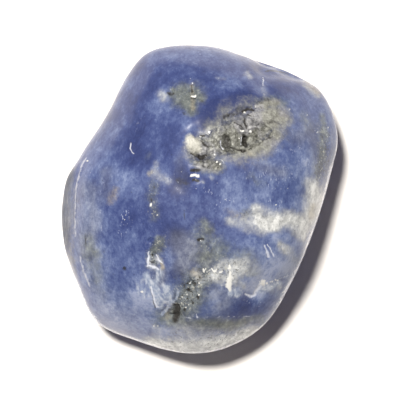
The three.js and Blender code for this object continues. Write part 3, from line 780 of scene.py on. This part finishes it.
class SODALITE_OT_stone(bpy.types.Operator):
    """Build the stone with its veins, clouds, pits and scratches"""

    bl_idname = "sodalite.stone"
    bl_label = "Tumbled sodalite stone"

    def execute(self, context):
        if SOLID not in frame["nodes"]:
            raise RuntimeError(f"the frame has no {SOLID}")
        settings = context.scene.sodalite_stone
        piece = copy_of_solid()
        refine(piece)
        noise.seed_set(DRIFT_SEED)
        skin = Skin(piece.data)
        covers = covers_of(skin, carve(skin, settings))
        for name, values in covers.items():
            skin.store(name, values)
        make_active(piece)
        bpy.ops.object.shade_smooth()
        piece.data.materials.clear()
        piece.data.materials.append(tumbled_sodalite(settings, covers))
        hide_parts(SOLID)
        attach(piece, BODY)
        return {"FINISHED"}


# ---- The stone's material ----

# Grain patterns: size in mm, stretch, detail, roughness, and a shift that keeps them apart. Real grains and
# bruises go down to 0.05 mm; these stop at 0.2 mm, the finest that still shows.
GRAINS = {
    "mottle": (2.4, (1, 1.3, 1), 4, 0.6, 0),
    "rag": (1.0, (1, 1.2, 1), 6, 0.75, 11),
    "fleck": (0.7, (1, 1.4, 1), 4, 0.65, 3),
    "flow": (0.6, (1, 4, 1), 4, 0.65, 37),
    "salt": (0.4, (1, 1.2, 1), 3, 0.7, 13),
    "streak": (0.3, (1, 5, 1), 3, 0.6, 31),
    "fine": (0.25, (1, 1.3, 1), 3, 0.65, 7),
    "grit": (0.24, (1, 1.2, 1), 2, 0.7, 29),
    "speck": (0.22, (1, 1, 1), 2, 0.6, 5),
    "nick": (0.2, (1, 2.2, 1), 2, 0.7, 23),
}
# Mixed patterns: shares of the grains.
MIXTURES = {
    "frost": (("rag", 0.6), ("speck", 0.15), ("salt", 0.25)),
    "marble": (("salt", 0.35), ("fleck", 0.65)),
    "frosting": (("speck", 0.45), ("salt", 0.55)),
    "flowing": (("rag", 0.5), ("flow", 0.5)),
    "skin": (("fine", 0.6), ("fleck", 1.0)),
}
# A border frays wherever its cover is above nothing: how fast the fraying sets in.
FRAYS_FROM_COVER = 5.0
# Round dots: the full middle as a share of the radius, and how sharply dotted cells differ from empty ones.
DOT_MIDDLE = 0.4
DOT_CHOICE = 0.03
# Satin polish on sodalite, whose index of refraction is 1.483: a thin clear coat and a trace of dusty sheen.
SATIN_POLISH = {
    "IOR": 1.483,
    "Specular IOR Level": 0.4,
    "Coat Roughness": 0.2,
    "Sheen Weight": 0.05,
    "Sheen Roughness": 0.4,
}


class RockPaint:
    """The node tree of a rock material, its covers and patterns, and the colour built up so far."""

    def __init__(self, tree, covers):
        self.tree = tree
        self.place = add_node(tree, "ShaderNodeTexCoord").outputs["Object"]
        self.base = None
        self.covers = {}
        for name in covers:
            stored = add_node(tree, "ShaderNodeAttribute", {"attribute_name": name})
            self.covers[name] = stored.outputs["Fac"]
        self.patterns = {}
        for name, (size, stretch, detail, roughness, shift) in GRAINS.items():
            scale = [1 / (size * MM * share) for share in stretch]
            drawn = add_node(tree, "ShaderNodeMapping", Vector=self.place, Scale=scale, Location=[shift] * 3)
            grain = add_node(
                tree, "ShaderNodeTexNoise",
                Vector=drawn.outputs[0], Scale=1.0, Detail=detail, Roughness=roughness,
            )
            self.patterns[name] = grain.outputs[0]
        for name, shares in MIXTURES.items():
            self.patterns[name] = self.sum_of([(self.patterns[grain], share) for grain, share in shares])

    def sum_of(self, parts, start=0.0):
        """Adds patterns, each times its weight, to a start value that centres the sum."""
        total = start
        for pattern, weight in parts:
            step = add_node(
                self.tree, "ShaderNodeMath", {"operation": "MULTIPLY_ADD"}, i0=pattern, i1=weight, i2=total
            )
            total = step.outputs[0]
        return total

    def frayed(self, name, pattern, reach):
        """A cover with its border frayed by a pattern; far from the cover it stays nothing."""
        cover = self.covers[name]
        near = add_node(
            self.tree, "ShaderNodeMath", {"operation": "MULTIPLY", "use_clamp": True},
            i0=cover, i1=FRAYS_FROM_COVER,
        ).outputs[0]
        fray = self.sum_of([(self.patterns[pattern], reach)], -0.5 * reach)
        return self.sum_of([(fray, near)], cover)

    def lay(self, cover, begins, full, strength, tones, pattern=None):
        """Lays tones that follow a pattern, or one shade, from where a cover begins to where it is full."""
        share = add_node(
            self.tree, "ShaderNodeMapRange", {"interpolation_type": "SMOOTHSTEP"},
            Value=cover, From_Min=begins, From_Max=full, To_Max=strength,
        ).outputs[0]
        if pattern is None:
            shade = tones
        else:
            shade = add_node(self.tree, "ShaderNodeValToRGB", stops=tones, Fac=pattern).outputs[0]
        over = add_node(self.tree, "ShaderNodeMix", {"data_type": "RGBA"}, i0=share, i6=self.base, i7=shade)
        self.base = over.outputs[2]

    def lay_cover(self, name, fray, reach, begins, full, strength, tones, pattern=None):
        """Lays a finish over one cover, its border frayed by a pattern as far as the reach."""
        self.lay(self.frayed(name, fray, reach), begins, full, strength, tones, self.patterns.get(pattern))

    def lay_dots(self, size, radius, some, strength, shade):
        """Lays round dots, in some of the cells of a size in mm."""
        cells = add_node(self.tree, "ShaderNodeTexVoronoi", Vector=self.place, Scale=1 / (size * MM))
        chosen = add_node(
            self.tree, "ShaderNodeMapRange", {"interpolation_type": "SMOOTHSTEP"},
            Value=cells.outputs["Color"], From_Min=some, From_Max=some - DOT_CHOICE, To_Max=strength,
        )
        self.lay(cells.outputs["Distance"], radius, DOT_MIDDLE * radius, chosen.outputs[0], shade)


def tumbled_sodalite(settings, covers):
    """Sodalite rock, a blue feldspathoid with calcite and nepheline veins, tumbled to a satin polish."""
    # what it gives the eye: glassy deep blue with milk drifting in it, dull grey and cream rock with frayed
    # borders, white crushed lines, and soft broad highlights that stop at the broken rock; painted in the
    # colour are glints and a highlight drop, a glint along the left ridge, shade in pits, crevices and gaps,
    # reflection along the edges and girdle, and light on the sides away from the key
    material = bpy.data.materials.new(STONE)
    material.use_nodes = True
    tree = material.node_tree
    shader = tree.nodes["Principled BSDF"]
    paint = RockPaint(tree, covers)
    covers, patterns = paint.covers, paint.patterns

    # blue ground: deep where clear, pale where milky, and paler on the right and near right as painted light
    grains = [(patterns["mottle"], 0.8), (patterns["fleck"], 0.9), (patterns["fine"], 0.5)]
    patterns["milkiness"] = paint.sum_of([(covers["milk"], 0.3), *grains], -0.58)
    blues = (
        (0.0, settings.deepest_blue), (0.3, settings.deep_blue), (0.55, settings.middle_blue),
        (0.8, settings.pale_blue), (1.0, settings.milky_blue),
    )
    paint.base = add_node(tree, "ShaderNodeValToRGB", stops=blues, Fac=patterns["milkiness"]).outputs[0]

    # finishes from the lowest up, each with its cover, the pattern and reach that fray its border, where the
    # cover begins and is full, its strength, its tones, and the pattern that they follow

    # veils, and haze that is partly bruises and partly painted reflection, lie thin over the blue
    paint.lay_cover("veils", "rag", 0.5, 0.0, 1.0, 0.8, GREY_VEIL, "milkiness")
    paint.lay_cover("haze", "rag", 0.8, 0.0, 1.0, 0.6, settings.bruise_and_reflection_haze)
    # grey clouds, and the broken vein, warm grey with cooler places
    paint.lay_cover("olive", "frost", 1.4, 0.0, 1.0, 0.85, GREY_CLOUD, "marble")
    blue_so_far = paint.base
    vein_tone = paint.sum_of([(patterns["salt"], 0.9), (covers["vein_tone"], 1.0)], -0.45)
    paint.base = add_node(tree, "ShaderNodeValToRGB", stops=WARM_VEIN, Fac=vein_tone).outputs[0]
    paint.lay(patterns["mottle"], 0.46, 0.58, 1.0, COOL_VEIN, vein_tone)
    rock, paint.base = paint.base, blue_so_far
    paint.lay_cover("vein", "rag", 0.5, 0.1, 0.7, 0.55, GREY_VEIL, "marble")
    paint.lay_cover("vein", "frost", 1.3, 0.15, 0.85, 1.0, rock)
    # cream clouds in a glaze of milk, whitest in their middles
    patterns["cream"] = paint.sum_of([(covers["cream"], 0.2), (patterns["marble"], 1.0)], -0.13)
    paint.lay_cover("cream", "rag", 0.7, 0.0, 0.6, 0.5, settings.milk_glaze)
    paint.lay_cover("cream", "frost", 1.5, 0.05, 1.0, 1.0, CREAM_ROCK, "cream")
    # glassy blades, rust, the rock of the flank, and the painted reflection along the near side's girdle
    paint.lay_cover("glassy", "streak", 0.9, 0.1, 0.8, 0.85, GLASSY_BLADE, "streak")
    paint.lay_cover("rust", "frost", 1.4, 0.05, 0.9, 0.75, RUSTY_ROCK, "marble")
    paint.lay_cover("left_flank", "frost", 2.0, 0.1, 1.1, 0.85, FLANK_ROCK, "flowing")
    paint.lay_cover("girdle", "frosting", 2.4, 0.35, 1.0, 0.92, GIRDLE_REFLECTION_TONES, "marble")
    # dark and light grains, dark mineral with painted shade in pits and crevices, nicks and dots
    paint.lay(patterns["grit"], 0.44, 0.34, covers["speckled"], linear(DARK_GRAINS))
    paint.lay(patterns["grit"], 0.58, 0.68, covers["speckled"], linear(PALE_GRAINS))
    paint.lay_cover("dark", "fine", 0.7, 0.3, 0.8, 0.95, settings.dark_mineral_and_pit_shade)
    paint.lay_dots(0.6, 0.14, 0.25, 0.5, linear(DARK_DOTS))
    nicked = add_node(
        tree, "ShaderNodeMapRange", {"interpolation_type": "SMOOTHSTEP"},
        Value=paint.frayed("bruised", "rag", 1.0), From_Min=0.25, From_Max=0.7, To_Min=0.024, To_Max=0.6,
    )
    paint.lay(patterns["nick"], 0.6, 0.68, nicked.outputs[0], linear(NICKS))
    paint.lay_dots(0.5, 0.14, 0.2, 0.35, linear(PALE_DOTS))
    # knob, white rock with the painted glints and highlight drop, scratches, and the worn ridge with its
    # painted glint lie on top
    paint.lay_cover("knob", "frost", 1.2, 0.2, 0.7, 1.0, KNOB_ROCK, "marble")
    paint.lay_cover("white_rock_and_glints", "fine", 0.9, 0.35, 0.75, 1.0, settings.crushed_white_and_glints)
    paint.lay_cover("scratches", "salt", 1.3, 0.25, 1.0, 0.85, settings.scratch_white)
    paint.lay_cover("ridge", "salt", 2.2, 0.35, 1.1, 0.75, linear(RIDGE_GLINT_PAINT))

    # satin skin with polished specks, under a thin clear polish that is missing where the rock is broken
    roughness = add_node(
        tree, "ShaderNodeMapRange", {"interpolation_type": "SMOOTHSTEP"},
        Value=patterns["speck"], From_Min=0.66, From_Max=0.76, To_Min=0.7, To_Max=0.35,
    )
    bump = add_node(
        tree, "ShaderNodeBump", Strength=1.0, Distance=settings.bump_height, Height=patterns["skin"]
    )
    tree.links.new(paint.base, shader.inputs["Base Color"])
    tree.links.new(roughness.outputs[0], shader.inputs["Roughness"])
    tree.links.new(bump.outputs[0], shader.inputs["Normal"])
    tree.links.new(covers["polish"], shader.inputs["Coat Weight"])
    for name, value in SATIN_POLISH.items():
        shader.inputs[name].default_value = value
    shader.inputs["Sheen Tint"].default_value = linear(SKIN_SHEEN)
    return material


# ---- The studio ----

# The point that the camera looks down at, in mm.
CAMERA_AIM = (0.05, -0.05)


def matt_white_paper(colour):
    """Uncoated white paper: bright and without any gloss, so that only the shadow shows on it."""
    material = bpy.data.materials.new("matt_white_paper")
    material.use_nodes = True
    shader = material.node_tree.nodes["Principled BSDF"]
    shader.inputs["Base Color"].default_value = colour
    shader.inputs["Roughness"].default_value = 0.9
    shader.inputs["Specular IOR Level"].default_value = 0.1
    return material


def add_floor(studio):
    """Adds the paper that the stone lies on."""
    bpy.ops.mesh.primitive_plane_add(size=studio.floor_size, location=(0, 0, 0))
    floor = bpy.context.active_object
    floor.name = "white_paper_floor"
    floor.data.materials.append(matt_white_paper(studio.paper))


def add_key_light(studio):
    """Adds the round key light, high up beyond the stone's left shoulder."""
    aside = math.sin(studio.key_tilt)
    way = Vector((
        aside * math.cos(studio.key_turn),
        aside * math.sin(studio.key_turn),
        math.cos(studio.key_tilt),
    ))
    bpy.ops.object.light_add(type="AREA", location=way * studio.key_distance)
    key = bpy.context.active_object
    key.name = "key_light"
    key.rotation_mode = "QUATERNION"
    key.rotation_quaternion = way.to_track_quat("Z", "Y")
    key.data.shape = "DISK"
    key.data.size = studio.key_size
    key.data.energy = studio.key_power
    key.data.color = studio.key_colour[:3]


def add_air(studio):
    """Adds dim light from all round, and a pale backdrop that the camera sees in its place."""
    world = bpy.data.worlds.new("studio_air")
    world.use_nodes = True
    tree = world.node_tree
    tree.nodes.clear()
    rays = add_node(tree, "ShaderNodeLightPath")
    air = add_node(tree, "ShaderNodeBackground", Color=studio.air_colour, Strength=studio.air_strength)
    seen = add_node(tree, "ShaderNodeBackground", Color=studio.backdrop, Strength=1.0)
    both = add_node(
        tree, "ShaderNodeMixShader", i0=rays.outputs["Is Camera Ray"], i1=air.outputs[0], i2=seen.outputs[0]
    )
    add_node(tree, "ShaderNodeOutputWorld", Surface=both.outputs[0])
    bpy.context.scene.world = world


def add_camera(studio):
    """Adds the camera straight above, with the frame's width at the stone's girdle."""
    bpy.ops.object.camera_add(rotation=(0, 0, 0))
    camera = bpy.context.active_object
    camera.name = "camera"
    camera.data.lens = studio.lens
    camera.data.clip_start = 10 * MM
    height = studio.girdle + studio.frame_width * studio.lens / camera.data.sensor_width
    camera.location = (CAMERA_AIM[0] * MM, CAMERA_AIM[1] * MM, height)
    bpy.context.scene.camera = camera


class SODALITE_OT_stage(bpy.types.Operator):
    """Build the floor, lights and camera"""

    bl_idname = "sodalite.stage"
    bl_label = "Studio"

    def execute(self, context):
        studio = context.scene.sodalite_studio
        deselect_all()
        add_floor(studio)
        add_key_light(studio)
        add_air(studio)
        add_camera(studio)
        context.scene.view_settings.view_transform = "Standard"
        return {"FINISHED"}


class SODALITE_PT_panel(bpy.types.Panel):
    """Buttons and settings for the stone and its studio"""

    bl_idname = "SODALITE_PT_panel"
    bl_label = "Tumbled sodalite"
    bl_space_type = "VIEW_3D"
    bl_region_type = "UI"
    bl_category = "Sodalite"

    def draw(self, context):
        parts = (
            (SODALITE_OT_stone, context.scene.sodalite_stone),
            (SODALITE_OT_stage, context.scene.sodalite_studio),
        )
        for operator, settings in parts:
            box = self.layout.box()
            box.operator(operator.bl_idname)
            for name in settings.__annotations__:
                box.prop(settings, name)


CLASSES = (StoneSettings, StudioSettings, SODALITE_OT_stone, SODALITE_OT_stage, SODALITE_PT_panel)


def register():
    for kind in CLASSES:
        bpy.utils.register_class(kind)
    bpy.types.Scene.sodalite_stone = PointerProperty(type=StoneSettings)
    bpy.types.Scene.sodalite_studio = PointerProperty(type=StudioSettings)


def unregister():
    del bpy.types.Scene.sodalite_studio
    del bpy.types.Scene.sodalite_stone
    for kind in reversed(CLASSES):
        bpy.utils.unregister_class(kind)


def main():
    register()
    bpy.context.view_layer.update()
    bpy.ops.sodalite.stone()
    bpy.ops.sodalite.stage()


if __name__ == "__main__":
    main()
